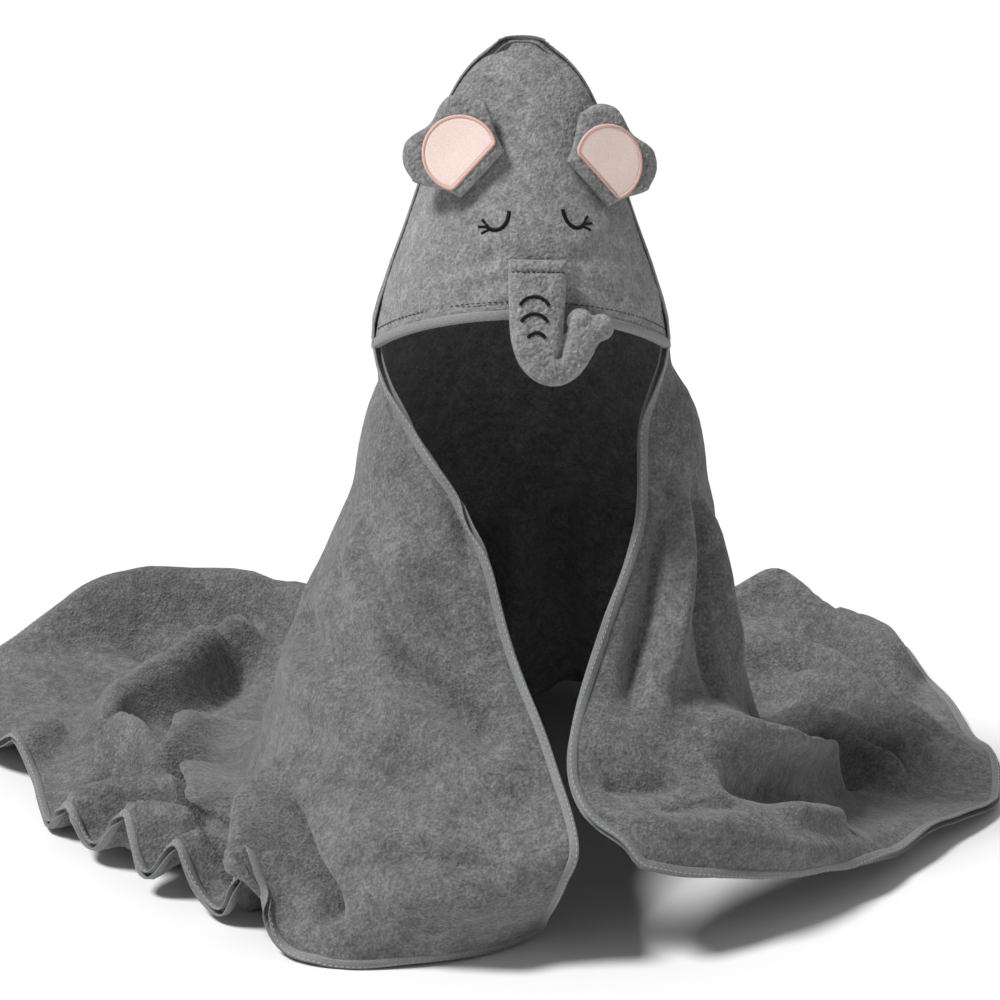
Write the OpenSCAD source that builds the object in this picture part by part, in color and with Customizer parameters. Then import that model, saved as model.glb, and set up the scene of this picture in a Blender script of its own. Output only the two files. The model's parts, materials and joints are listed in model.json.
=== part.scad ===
// Hooded baby towel in its worn shape: one square plush sheet with a bound edge, an animal-face
// hood over one corner, two ears and a trunk. Millimetres, +Z up, the open front faces -Y.
// It stands on the floor by itself with both wings spread to the sides and the back.

/* [Towel] */
// Side of the square towel as it is cut; the worn shape scales with it
towel_side = 800; // [760:10:880]
// Thickness of the plush
pile = 3; // [2:0.5:3.5]
// Width of the tape on each face of the edge
tape_w = 5; // [4:0.5:6]
// Thickness of the tape
tape_t = 0.8; // [0.5:0.1:1]
// Thickness of the sewing thread in the topstitching
thread_d = 0.7; // [0.5:0.1:1]

/* [Face] */
// Turn of the face to the right of the towel's middle, in degrees
face_turn = 8; // [0:1:12]
// Height of the closed eyes above the floor
eye_z = 428; // [420:1:436]
// Angle of each eye from the middle of the face
eye_angle = 22; // [20:1:25]
// Width of the embroidered lines
embroidery_w = 1.7; // [1.2:0.1:2.4]

/* [Ears] */
// Width of an ear's sewn base
ear_base_w = 41; // [36:1:46]
// Radius of the ear's two round lobes
ear_lobe_r = 16.5; // [15:0.5:18]
// Distance of each lobe's centre from the ear's middle line
ear_lobe_x = 16.5; // [14:0.5:18]
// Distance of the lobes' centres from the base
ear_lobe_y = 33; // [30:1:36]
// Radius of the pink patch
patch_r = 22; // [18:1:23]
// Thickness of the ear's filling
ear_filling_t = 1.5; // [1:0.5:3]

/* [Trunk] */
// Width of the trunk at its sewn top
trunk_w = 36; // [34:1:38]
// Length of the trunk from its sewn top to its lowest point
trunk_l = 74; // [70:1:80]
// Thickness of the trunk's filling
trunk_filling_t = 4; // [2:0.5:6]

/* [Hidden] */

fit = 0.15;                 // gap between pieces of one body
free = 0.5;                 // gap between pieces that move apart
sewn = 0.05;                // gap under a thread or a patch that is sewn on
k = towel_side / 800;       // scale of the worn shape
half = pile / 2;
axis_at = [43.4, -74.6];    // middle of the wearer, from the middle of the towel's footprint
hem_lift = 2.5;             // the edge lies this much higher than the sheet, on its tape
columns = 44;
fine_rows = 3;              // grid rows between two cage rows

plush = [0.53, 0.53, 0.53];
plush_light = [0.62, 0.62, 0.62];
tape = [0.56, 0.57, 0.58];
pink = [0.97, 0.87, 0.84];
thread_black = [0.08, 0.08, 0.08];

// Hood outline: at each height, half its width, its depth to the front and its depth to the back
hood_width = [[342, 93], [383, 83], [418, 70], [453, 58], [480, 49], [503, 38], [517, 27], [528, 13]];
hood_front = [[342, 86], [383, 78], [418, 66], [453, 51], [480, 39], [503, 25], [517, 13], [528, 4]];
hood_back = [[342, 84], [383, 78], [418, 68], [453, 54], [480, 42], [503, 27], [517, 14], [528, 4]];
hood_heights = [528, 517, 503, 480, 453, 418, 383, 342];
// Angle of the hood seams from the back, at each height
seam_angle = [[342, 101], [418, 95], [528, 90]];

// Body of the towel below the hood: rows from the neck to the hem, each with nine places from the
// left front edge round the back to the right front edge. A place is [angle from the back, radius
// from the wearer's middle, height].
body_rows = [
  [[-122, 86, 296], [-110, 92, 298], [-90, 94, 298], [-48, 95, 300], [0, 93, 300],
    [48, 98, 300], [88, 108, 298], [104, 102, 296], [116, 88, 294]],
  [[-160, 88, 234], [-128, 103, 232], [-95, 110, 234], [-50, 112, 235], [0, 112, 236],
    [50, 115, 236], [88, 121, 236], [110, 116, 236], [130, 99, 236]],
  [[-175, 110, 170], [-136, 130, 168], [-96, 138, 166], [-50, 136, 166], [0, 130, 168],
    [50, 132, 168], [88, 134, 168], [119, 130, 170], [153, 114, 174]],
  [[-186, 166, 112], [-145, 164, 112], [-100, 158, 106], [-50, 157, 100], [0, 150, 100],
    [50, 150, 100], [90, 148, 102], [130, 160, 112], [168, 158, 124]],
  [[-188, 210, 78], [-150, 208, 66], [-104, 178, 48], [-54, 190, 36], [0, 180, 34],
    [50, 185, 38], [92, 174, 48], [138, 200, 80], [168, 188, 95]],
  [[-186, 208, 50], [-152, 224, 30], [-108, 202, 14], [-58, 270, 1.5], [0, 235, 1.5],
    [46, 268, 1.5], [90, 214, 16], [136, 216, 62], [166, 197, 84]],
  [[-184, 188, 26], [-153, 230, 13], [-111, 232, 3], [-60, 375, 1.5], [0, 290, 1.5],
    [44, 345, 1.5], [87, 264, 1.5], [128, 224, 42], [163, 206, 76]],
  [[-183, 166, 10], [-153, 232, 6], [-113, 258, 4], [-61, 475, 4], [0, 345, 4],
    [41, 428, 4], [84, 318, 4], [120, 228, 26], [160, 214, 68]]];

hood_rows = len(hood_heights);
all_rows = hood_rows + len(body_rows);
places = 9;

function clampi(i, n) = max(0, min(n - 1, i));
function curve(a, b, c, d, t) =
  0.5 * (2 * b + (c - a) * t + (2 * a - 5 * b + 4 * c - d) * t * t
  + (3 * b - a - 3 * c + d) * t * t * t);
function unit(v) = v / norm(v);

// Place on the hood's middle surface, at an angle from the back and a height
function hood_at(angle, z) =
  let (depth = cos(angle) >= 0 ? lookup(z, hood_back) : lookup(z, hood_front))
  k * [lookup(z, hood_width) * sin(angle), depth * cos(angle), z];
function hood_normal(angle, z) =
  unit(cross(hood_at(angle + 1, z) - hood_at(angle - 1, z), hood_at(angle, z - 2) - hood_at(angle, z + 2)));

function body_place(row, u) =
  let (i = min(places - 2, floor(u)), t = u - i,
    p = [for (j = [-1:2]) row[clampi(i + j, places)]],
    c = curve(p[0], p[1], p[2], p[3], t))
  k * [c[1] * sin(c[0]), c[1] * cos(c[0]), c[2]];
function row_place(j, u) =
  j < hood_rows
  ? let (z = hood_heights[j], e = lookup(z, seam_angle)) hood_at(-e + 2 * e * u / (places - 1), z)
  : body_place(body_rows[j - hood_rows], u);
// Middle surface of the sheet: u runs round from left to right, v down from the peak to the hem
function sheet_at(u, v) =
  let (j = min(all_rows - 2, floor(v)), t = v - j,
    p = [for (i = [-1:2]) row_place(clampi(j + i, all_rows), u)],
    c = curve(p[0], p[1], p[2], p[3], t),
    low = half + (v > all_rows - 1.01 ? hem_lift : 0))
  [c[0], c[1], max(c[2], low)];

sheet_u = [for (i = [0:columns]) (places - 1) * i / columns];
sheet_v = [for (j = [0:fine_rows * (all_rows - 1)]) j / fine_rows];
sheet_grid = [for (v = sheet_v) [for (u = sheet_u) sheet_at(u, v)]];

// Panel of the hood: a runs from the left seam to the right one, b from the peak to the brim
panel_columns = 26;
panel_rows = 16;
seam_gap = 2;               // the panel stops short of the sheet's bound edge
seam_round = 12;            // smallest depth for which that gap keeps its width
brim_rows = 0.9;            // power that crowds the panel's rows towards the peak
brim_stitch_at = tape_w + 5;
surface_gap = 0.3;          // gap under threads that follow the curved hood
brim_end = 339;
brim_arch = 36;             // the brim's middle is this much higher than its ends
function panel_place(a, b) =
  let (top = hood_heights[0], arch = sin(180 * a),
    z = top + (brim_end + brim_arch * arch - top) * b,
    e = lookup(z, seam_angle) + seam_gap * 180 / PI / max(seam_round, lookup(z, hood_front)),
    angle = e + (360 - 2 * e) * (1 - a))
  hood_at(angle, z);
panel_grid = [for (j = [0:panel_rows]) [for (i = [0:panel_columns])
  panel_place(i / panel_columns, pow(j / panel_rows, brim_rows))]];

function grid_normal(g, j, i) =
  let (nj = len(g), ni = len(g[0]),
    across = g[j][clampi(i + 1, ni)] - g[j][clampi(i - 1, ni)],
    down = g[clampi(j + 1, nj)][i] - g[clampi(j - 1, nj)][i])
  unit(cross(down, across));
function grid_normals(g) = [for (j = [0:len(g) - 1]) [for (i = [0:len(g[0]) - 1]) grid_normal(g, j, i)]];
sheet_normals = grid_normals(sheet_grid);
panel_normals = -grid_normals(panel_grid);

// Closed shell of thickness 2 * h about the middle surface g, with its outer side along n
module shell(g, n, h) {
  nj = len(g);
  ni = len(g[0]);
  total = nj * ni;
  outer = [for (j = [0:nj - 1]) for (i = [0:ni - 1]) g[j][i] + h * n[j][i]];
  inner = [for (j = [0:nj - 1]) for (i = [0:ni - 1]) g[j][i] - h * n[j][i]];
  rim = concat([for (i = [0:ni - 1]) i], [for (j = [1:nj - 1]) j * ni + ni - 1],
    [for (i = [ni - 2:-1:0]) (nj - 1) * ni + i], [for (j = [nj - 2:-1:1]) j * ni]);
  cells = [for (j = [0:nj - 2]) for (i = [0:ni - 2]) j * ni + i];
  polyhedron(concat(outer, inner), concat(
    [for (c = cells) each [[c, c + 1, c + ni + 1], [c, c + ni + 1, c + ni]]],
    [for (c = cells) each [[total + c, total + c + ni + 1, total + c + 1],
      [total + c, total + c + ni, total + c + ni + 1]]],
    [for (r = [0:len(rim) - 1]) let (a = rim[r], b = rim[(r + 1) % len(rim)])
      each [[a, total + a, total + b], [a, total + b, b]]]), convexity = 10);
}

// Bar of a constant section swept along the places p. A section point is [along t, along n].
module swept(p, t, n, section, loop = false) {
  m = len(section);
  count = len(p);
  last = loop ? count - 1 : count - 2;
  points = [for (i = [0:count - 1]) for (s = section) p[i] + s[0] * t[i] + s[1] * n[i]];
  sides = [for (i = [0:last]) for (s = [0:m - 1])
    let (a = i * m + s, b = i * m + (s + 1) % m, c = ((i + 1) % count) * m)
    each [[a, b, c + (s + 1) % m], [a, c + (s + 1) % m, c + s]]];
  ends = loop ? [] : [[for (s = [m - 1:-1:0]) s], [for (s = [0:m - 1]) (count - 1) * m + s]];
  polyhedron(points, concat(sides, ends), convexity = 10);
}

// Folded tape round an edge: t points into the cloth from its edge
function tape_section() =
  let (a = half + fit, b = half + fit + tape_t)
  [[tape_w, a], [-fit, a], [-fit, -a], [tape_w, -a], [tape_w, -b], [-fit - tape_t, -b],
    [-fit - tape_t, b], [tape_w, b]];
function round_section(r, sides, t0, n0) =
  [for (i = [0:sides - 1]) [t0 + r * cos(-360 * i / sides), n0 + r * sin(-360 * i / sides)]];

// Edge of the sheet: down the left side, along the hem, up the right side, across the peak
sheet_last_row = len(sheet_grid) - 1;
edge_cells = concat([for (j = [0:sheet_last_row]) [j, 0]],
  [for (i = [1:columns]) [sheet_last_row, i]],
  [for (j = [sheet_last_row - 1:-1:0]) [j, columns]],
  [for (i = [columns - 6:-6:4]) [0, i]]);
edge_points = [for (c = edge_cells) sheet_grid[c[0]][c[1]]];
edge_normals = [for (c = edge_cells) sheet_normals[c[0]][c[1]]];
edge_count = len(edge_points);
edge_inward = [for (i = [0:edge_count - 1])
  unit(cross(edge_normals[i],
    edge_points[(i + 1) % edge_count] - edge_points[(i + edge_count - 1) % edge_count]))];

brim_points = [for (i = [panel_columns:-1:0]) panel_grid[panel_rows][i]];
brim_normals = [for (i = [panel_columns:-1:0]) panel_normals[panel_rows][i]];
brim_inward = [for (i = [0:panel_columns])
  unit(cross(brim_points[clampi(i - 1, panel_columns + 1)] - brim_points[clampi(i + 1, panel_columns + 1)],
    brim_normals[i]))];

module towel_sheet() {
  color(plush) shell(sheet_grid, sheet_normals, half);
}

module hood_panel() {
  color(plush_light) shell(panel_grid, -panel_normals, half);
}

module edge_binding() {
  color(tape) swept(edge_points, edge_inward, edge_normals, tape_section(), true);
}

module edge_stitching() {
  color(tape) swept(edge_points, edge_inward, edge_normals,
    round_section(thread_d / 2, 5, tape_w - 1.5, half + fit + tape_t + thread_d / 2 + sewn), true);
}

module brim_binding() {
  color(tape) swept(brim_points, brim_inward, brim_normals, tape_section());
}

// The brim's stitching stops one step short of the hood seams
module brim_stitching() {
  stitched = [for (i = [1:panel_columns - 1]) i];
  color(thread_black) swept([for (i = stitched) brim_points[i]], [for (i = stitched) brim_inward[i]],
    [for (i = stitched) brim_normals[i]],
    round_section(thread_d / 2, 5, brim_stitch_at, half + thread_d / 2 + surface_gap));
}

// Face features stand on the hood at an angle from the middle of the face
face_middle = 180 - face_turn;
module placed(at, x, y, z) {
  multmatrix([[x[0], y[0], z[0], at[0]], [x[1], y[1], z[1], at[1]], [x[2], y[2], z[2], at[2]]])
    children();
}

// Closed eye: one arc, open at the top, and three lashes at its outer end
eye_arc_w = 8;
eye_arc_h = 11;
eye_arc_end = 310;
eye_arc_up = 8;             // the arc's centre is this much above eye_z
degrees_per_mm = 0.9;       // turn about the hood for each millimetre across an eye
lash_roots = [[5.5, 0.5], [5, -1.5], [3.5, -3.2]];
lash_tips = [[8.5, 3], [10.5, -1.8], [7.5, -6.5]];
function eye_at(side, x, z) = [face_middle + side * (eye_angle + degrees_per_mm * x), eye_z + z];
module embroidered(places) {
  r = embroidery_w / 2;
  out = half + r + surface_gap;
  p = [for (a = places) hood_at(a[0], a[1]) + out * hood_normal(a[0], a[1])];
  n = [for (a = places) hood_normal(a[0], a[1])];
  last = len(p) - 1;
  t = [for (i = [0:last]) unit(cross(n[i], p[min(last, i + 1)] - p[max(0, i - 1)]))];
  swept(p, t, n, round_section(r, 6, 0, 0));
}
module eye(side) {
  color(thread_black) {
    embroidered([for (a = [180:10:eye_arc_end])
      eye_at(side, eye_arc_w * cos(a), eye_arc_up + eye_arc_h * sin(a))]);
    for (i = [0:2]) embroidered([for (t = [0:0.5:1])
      let (q = lash_roots[i] * (1 - t) + lash_tips[i] * t) eye_at(side, q[0], q[1])]);
  }
}
module eye_left() { eye(1); }
module eye_right() { eye(-1); }

// Ear: its base runs down the hood from an inner corner to an outer one, each [angle, height]
// Each pair is [left ear, right ear]; the right one sits lower and is turned further out
ear_inner = [[17, 472], [16, 467]];
ear_outer = [[45, 440], [46, 430]];
ear_facing = [[-0.15, -0.97, 0.2], [0.6, -0.79, 0.1]];
ear_front_z = pile + ear_filling_t + 2 * fit;
ear_top_z = ear_front_z + pile;
patch_at = 19;
patch_from = 8;
patch_t = 0.8;
satin_w = 2.2;
satin_t = 1.2;
ear_filling_inset = 4;
ear_stitch_y = 3.5;
ear_stitch_inset = 4;
module on_hood_side(side) {
  which = side > 0 ? 0 : 1;
  a = ear_inner[which];
  b = ear_outer[which];
  inner = hood_at(face_middle + side * a[0], a[1]);
  outer = hood_at(face_middle + side * b[0], b[1]);
  mid = [face_middle + side * (a[0] + b[0]) / 2, (a[1] + b[1]) / 2];
  facing = ear_facing[which];
  y = side * unit(cross(facing, inner - outer));
  x = side * unit(inner - outer);
  z = cross(x, y);
  placed(hood_at(mid[0], mid[1]) + (half + free) * hood_normal(mid[0], mid[1]), x, y, z) children();
}
module ear_outline(inset) {
  r = ear_lobe_r - inset;
  side = ear_lobe_x + r * cos(15);
  low = inset;
  for (s = [-1, 1]) translate([s * ear_lobe_x, ear_lobe_y]) circle(r, $fn = 48);
  polygon([[-ear_base_w / 2 + inset, low], [ear_base_w / 2 - inset, low],
    [side, ear_lobe_y - r * sin(15)], [ear_lobe_x, ear_lobe_y + 0.75 * r],
    [-ear_lobe_x, ear_lobe_y + 0.75 * r], [-side, ear_lobe_y - r * sin(15)]]);
}
module patch_outline(grow) {
  intersection() {
    translate([0, patch_at]) circle(patch_r + grow, $fn = 64);
    translate([-2 * patch_r, patch_from - grow]) square([4 * patch_r, 4 * patch_r]);
  }
}
module ear_back(side) {
  color(plush) on_hood_side(side) linear_extrude(pile) ear_outline(0);
}
module ear_filling(side) {
  color("white") on_hood_side(side) translate([0, 0, pile + fit])
    linear_extrude(ear_filling_t) ear_outline(ear_filling_inset);
}
module ear_front(side) {
  color(plush_light) on_hood_side(side) translate([0, 0, ear_front_z])
    linear_extrude(pile) ear_outline(0);
}
module ear_patch(side) {
  color(pink) on_hood_side(side) translate([0, 0, ear_top_z + sewn])
    linear_extrude(patch_t) patch_outline(0);
}
module ear_patch_stitching(side) {
  color([0.95, 0.83, 0.8]) on_hood_side(side) translate([0, 0, ear_top_z + sewn])
    linear_extrude(satin_t) difference() {
      patch_outline(satin_w);
      patch_outline(0.1);
    }
}
module ear_base_stitching(side) {
  reach = ear_base_w - 2 * ear_stitch_inset;
  color(thread_black) on_hood_side(side)
    translate([-reach / 2, ear_stitch_y, ear_top_z + thread_d / 2 + sewn])
      rotate([0, 90, 0]) cylinder(reach, d = thread_d, $fn = 24);
}
module ear_left_front() { ear_front(1); }
module ear_left_back() { ear_back(1); }
module ear_left_filling() { ear_filling(1); }
module ear_left_patch() { ear_patch(1); }
module ear_left_patch_stitching() { ear_patch_stitching(1); }
module ear_left_base_stitching() { ear_base_stitching(1); }
module ear_right_front() { ear_front(-1); }
module ear_right_back() { ear_back(-1); }
module ear_right_filling() { ear_filling(-1); }
module ear_right_patch() { ear_patch(-1); }
module ear_right_patch_stitching() { ear_patch_stitching(-1); }
module ear_right_base_stitching() { ear_base_stitching(-1); }

// Trunk: hangs from its sewn top over the brim, with its tip curled up to the right
trunk_top = [face_middle + 1, 408];
trunk_over_brim = [face_middle + 1, 371];
trunk_turn = -3;            // the trunk hangs this much off the face's middle line, in degrees
trunk_front_z = pile + trunk_filling_t + 2 * fit;
trunk_top_z = trunk_front_z + pile;
trunk_filling_inset = 3;
trunk_stitch_y = -8;
module on_trunk() {
  top_normal = hood_normal(trunk_top[0], trunk_top[1]);
  at = hood_at(trunk_top[0], trunk_top[1]) + (half + free) * top_normal;
  brim = hood_at(trunk_over_brim[0], trunk_over_brim[1])
    + (half + fit + tape_t + free + 1) * hood_normal(trunk_over_brim[0], trunk_over_brim[1]);
  y = unit(at - brim);
  x = unit(cross(y, top_normal));
  placed(at, x, y, cross(x, y)) rotate(trunk_turn) children();
}
module trunk_outline() {
  w = trunk_w / 2;
  l = trunk_l;
  polygon([[-w, 0], [-w, -0.49 * l], [-15.5, -0.73 * l], [-9.5, -0.9 * l], [-2, -0.98 * l], [6, -l],
    [14, -0.96 * l], [20, -0.89 * l], [26, -0.79 * l], [31, -0.68 * l], [35, -0.56 * l],
    [40, -0.48 * l], [42, -0.42 * l], [40, -0.37 * l], [36, -0.34 * l], [33, -0.35 * l],
    [31, -0.37 * l], [28.5, -0.35 * l], [25, -0.35 * l], [21.5, -0.38 * l], [19.5, -0.44 * l],
    [17, -0.53 * l], [15.5, -0.63 * l], [13, -0.73 * l], [12, -0.72 * l], [12.5, -0.6 * l],
    [15, -0.47 * l], [w, -0.35 * l], [w, 0]]);
}
module trunk_back() {
  color(plush) on_trunk() linear_extrude(pile) trunk_outline();
}
module trunk_filling() {
  color("white") on_trunk() translate([0, 0, pile + fit]) linear_extrude(trunk_filling_t)
    offset(-trunk_filling_inset) trunk_outline();
}
module trunk_front() {
  color(plush_light) on_trunk() translate([0, 0, trunk_front_z]) linear_extrude(pile) trunk_outline();
}
// Wrinkles: [middle, distance of the arc's crown below the top, radius, half angle]
wrinkles = [[-2.5, 23, 10, 62], [-2.5, 33.5, 9, 62], [-1, 45, 6, 60]];
module trunk_wrinkles() {
  r = embroidery_w / 2;
  color(thread_black) on_trunk() for (a = wrinkles)
    translate([a[0], -a[1] - a[2], trunk_top_z + r + sewn]) rotate(90 - a[3])
      rotate_extrude(angle = 2 * a[3], $fn = 48) translate([a[2], 0]) circle(r, $fn = 24);
}
module trunk_top_stitching() {
  reach = trunk_w - 3;
  color(thread_black) on_trunk() translate([-reach / 2, trunk_stitch_y, trunk_top_z + thread_d / 2 + sewn])
    rotate([0, 90, 0]) cylinder(reach, d = thread_d, $fn = 24);
}

translate(axis_at) towel_sheet();
translate(axis_at) hood_panel();
translate(axis_at) edge_binding();
translate(axis_at) brim_binding();
translate(axis_at) edge_stitching();
translate(axis_at) brim_stitching();
translate(axis_at) eye_left();
translate(axis_at) eye_right();
translate(axis_at) ear_left_front();
translate(axis_at) ear_left_back();
translate(axis_at) ear_left_filling();
translate(axis_at) ear_left_patch();
translate(axis_at) ear_left_patch_stitching();
translate(axis_at) ear_left_base_stitching();
translate(axis_at) ear_right_front();
translate(axis_at) ear_right_back();
translate(axis_at) ear_right_filling();
translate(axis_at) ear_right_patch();
translate(axis_at) ear_right_patch_stitching();
translate(axis_at) ear_right_base_stitching();
translate(axis_at) trunk_front();
translate(axis_at) trunk_back();
translate(axis_at) trunk_filling();
translate(axis_at) trunk_wrinkles();
translate(axis_at) trunk_top_stitching();
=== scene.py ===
import json
import math

import bpy
import numpy as np
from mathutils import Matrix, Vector, noise
from mathutils.bvhtree import BVHTree


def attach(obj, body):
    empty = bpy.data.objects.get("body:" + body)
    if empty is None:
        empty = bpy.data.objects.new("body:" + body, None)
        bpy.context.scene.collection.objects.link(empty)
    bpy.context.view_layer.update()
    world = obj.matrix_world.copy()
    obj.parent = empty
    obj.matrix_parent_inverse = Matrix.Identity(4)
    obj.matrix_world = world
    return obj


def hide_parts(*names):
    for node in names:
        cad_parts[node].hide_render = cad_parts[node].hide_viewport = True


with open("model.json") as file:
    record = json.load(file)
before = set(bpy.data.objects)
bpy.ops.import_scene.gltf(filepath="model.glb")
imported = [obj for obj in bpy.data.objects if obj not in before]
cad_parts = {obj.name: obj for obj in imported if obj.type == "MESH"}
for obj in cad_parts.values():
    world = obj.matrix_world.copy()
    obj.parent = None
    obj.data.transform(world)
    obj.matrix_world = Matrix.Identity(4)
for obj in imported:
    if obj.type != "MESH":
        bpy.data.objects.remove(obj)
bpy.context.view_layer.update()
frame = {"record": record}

mm = 0.001
scene = bpy.context.scene
record = frame["record"]

# The worn shape is drawn about the wearer's middle, which the floor mount places
floorRest = record["mounts"][0]["pos_m"]
wearer = np.array([floorRest[0], floorRest[1] - 0.265, 0.0])


view = {"elevation": 18.0, "distance": 2.475, "lens": 135.0, "aimSide": -0.0132, "aimUp": 0.2211}


def placeCamera():
    tilt = math.radians(view["elevation"])
    forward = Vector((0, math.cos(tilt), -math.sin(tilt)))
    up = Vector((0, math.sin(tilt), math.cos(tilt)))
    aim = Vector(wearer) + Vector((view["aimSide"], 0, 0)) + up * view["aimUp"]
    data = bpy.data.cameras.new("camera")
    data.lens = view["lens"]
    data.clip_end = 20
    camera = bpy.data.objects.new("camera", data)
    camera.location = aim - forward * view["distance"]
    camera.rotation_euler = forward.to_track_quat("-Z", "Y").to_euler()
    scene.collection.objects.link(camera)
    scene.camera = camera


light = {"sunStrength": 3.3, "sunSoftness": 15.0, "sunFrom": (-0.6, -0.22, 1.0), "sky": 0.27}


def placeLights():
    data = bpy.data.lights.new("softbox", "SUN")
    data.energy = light["sunStrength"]
    data.angle = math.radians(light["sunSoftness"])
    sun = bpy.data.objects.new("softbox", data)
    sun.rotation_euler = (-Vector(light["sunFrom"])).to_track_quat("-Z", "Y").to_euler()
    scene.collection.objects.link(sun)
    # The room is white to look at, and gives a weaker even light
    world = bpy.data.worlds.new("studio")
    world.use_nodes = True
    nodes = world.node_tree.nodes
    back = nodes["Background"]
    back.inputs["Color"].default_value = (1, 1, 1, 1)
    seen = nodes.new("ShaderNodeLightPath")
    strength = nodes.new("ShaderNodeMapRange")
    strength.inputs["To Min"].default_value = light["sky"]
    strength.inputs["To Max"].default_value = 1.0
    world.node_tree.links.new(seen.outputs["Is Camera Ray"], strength.inputs["Value"])
    world.node_tree.links.new(strength.outputs["Result"], back.inputs["Strength"])
    scene.world = world
    scene.view_settings.view_transform = "Standard"


def hexColour(text):
    parts = [int(text[i:i + 2], 16) / 255 for i in (1, 3, 5)]
    return tuple(c / 12.92 if c < 0.04045 else ((c + 0.055) / 1.055) ** 2.4 for c in parts) + (1.0,)


def addNode(material, kind, inputs, **settings):
    node = material.node_tree.nodes.new(kind)
    for name, value in settings.items():
        setattr(node, name, value)
    for name, value in inputs.items():
        if isinstance(value, bpy.types.NodeSocket):
            material.node_tree.links.new(value, node.inputs[name])
        else:
            node.inputs[name].default_value = value
    return node


def newMaterial(name, roughness, sheen, sheenRoughness=0.5):
    material = bpy.data.materials.new(name)
    material.use_nodes = True
    shader = material.node_tree.nodes["Principled BSDF"]
    shader.inputs["Roughness"].default_value = roughness
    shader.inputs["Specular IOR Level"].default_value = 0.2
    shader.inputs["Sheen Weight"].default_value = sheen
    shader.inputs["Sheen Roughness"].default_value = sheenRoughness
    shader.inputs["Sheen Tint"].default_value = (1, 1, 1, 1)
    return material, shader


def plushMaterial(name, dark, mid, light):
    # Coral-fleece microfibre, brushed and sheared: a deep matt nap that clumps into 1.5 mm tufts, with
    # painted shade between the tufts, painted light on their tips, and wider patches of painted sheen
    # where the nap lies another way and takes the light differently
    material, shader = newMaterial(name, 0.95, 0.25)
    links = material.node_tree.links
    place = addNode(material, "ShaderNodeTexCoord", {}).outputs["Object"]
    tufts = addNode(material, "ShaderNodeTexNoise",
                    {"Vector": place, "Scale": 520.0, "Detail": 3.0, "Roughness": 0.65})
    clumps = addNode(material, "ShaderNodeTexNoise",
                     {"Vector": place, "Scale": 150.0, "Detail": 2.0, "Roughness": 0.6})
    napSheenPatches = addNode(material, "ShaderNodeTexNoise",
                      {"Vector": place, "Scale": 26.0, "Detail": 3.0, "Roughness": 0.6, "Distortion": 0.8})
    coarse = addNode(material, "ShaderNodeMix", {"Factor": 0.45, "A": clumps.outputs["Fac"],
                                                 "B": napSheenPatches.outputs["Fac"]})
    pileShadeAndSheen = addNode(material, "ShaderNodeMix", {"Factor": 0.5, "A": tufts.outputs["Fac"],
                                                "B": coarse.outputs["Result"]})
    # The ramp paints shade where the bump is low, light on the tuft tips, and lighter and darker sheen on
    # the nap patches
    ramp = addNode(material, "ShaderNodeValToRGB", {"Fac": pileShadeAndSheen.outputs["Result"]})
    ramp.color_ramp.elements[0].position = 0.36
    ramp.color_ramp.elements[0].color = hexColour(dark)
    ramp.color_ramp.elements[1].position = 0.64
    ramp.color_ramp.elements[1].color = hexColour(light)
    middle = ramp.color_ramp.elements.new(0.5)
    middle.color = hexColour(mid)
    links.new(ramp.outputs["Color"], shader.inputs["Base Color"])
    height = addNode(material, "ShaderNodeMath", {0: tufts.outputs["Fac"], 1: clumps.outputs["Fac"]},
                     operation="ADD")
    bump = addNode(material, "ShaderNodeBump",
                   {"Height": height.outputs["Value"], "Strength": 0.9, "Distance": 1.8 * mm})
    links.new(bump.outputs["Normal"], shader.inputs["Normal"])
    return material


def tapeMaterial(name, colour, dark):
    # Woven polyester bias tape: smooth, fine ribs across it, a faint sheen
    material, shader = newMaterial(name, 0.6, 0.15, 0.3)
    links = material.node_tree.links
    place = addNode(material, "ShaderNodeTexCoord", {}).outputs["Object"]
    weave = addNode(material, "ShaderNodeTexNoise",
                    {"Vector": place, "Scale": 900.0, "Detail": 2.0, "Roughness": 0.5})
    ramp = addNode(material, "ShaderNodeValToRGB", {"Fac": weave.outputs["Fac"]})
    ramp.color_ramp.elements[0].position = 0.3
    ramp.color_ramp.elements[0].color = hexColour(dark)
    ramp.color_ramp.elements[1].position = 0.7
    ramp.color_ramp.elements[1].color = hexColour(colour)
    links.new(ramp.outputs["Color"], shader.inputs["Base Color"])
    bump = addNode(material, "ShaderNodeBump",
                   {"Height": weave.outputs["Fac"], "Strength": 0.25, "Distance": 0.3 * mm})
    links.new(bump.outputs["Normal"], shader.inputs["Normal"])
    return material


def threadMaterial(name, colour, dark):
    # Rayon embroidery thread: a soft gloss, and a painted highlight that makes it a little lighter where
    # each strand turns up
    material, shader = newMaterial(name, 0.45, 0.1, 0.3)
    links = material.node_tree.links
    place = addNode(material, "ShaderNodeTexCoord", {}).outputs["Object"]
    strandGlint = addNode(material, "ShaderNodeTexNoise",
                     {"Vector": place, "Scale": 1600.0, "Detail": 1.0, "Roughness": 0.5})
    ramp = addNode(material, "ShaderNodeValToRGB", {"Fac": strandGlint.outputs["Fac"]})
    ramp.color_ramp.elements[0].color = hexColour(dark)
    ramp.color_ramp.elements[1].color = hexColour(colour)
    links.new(ramp.outputs["Color"], shader.inputs["Base Color"])
    return material


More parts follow.
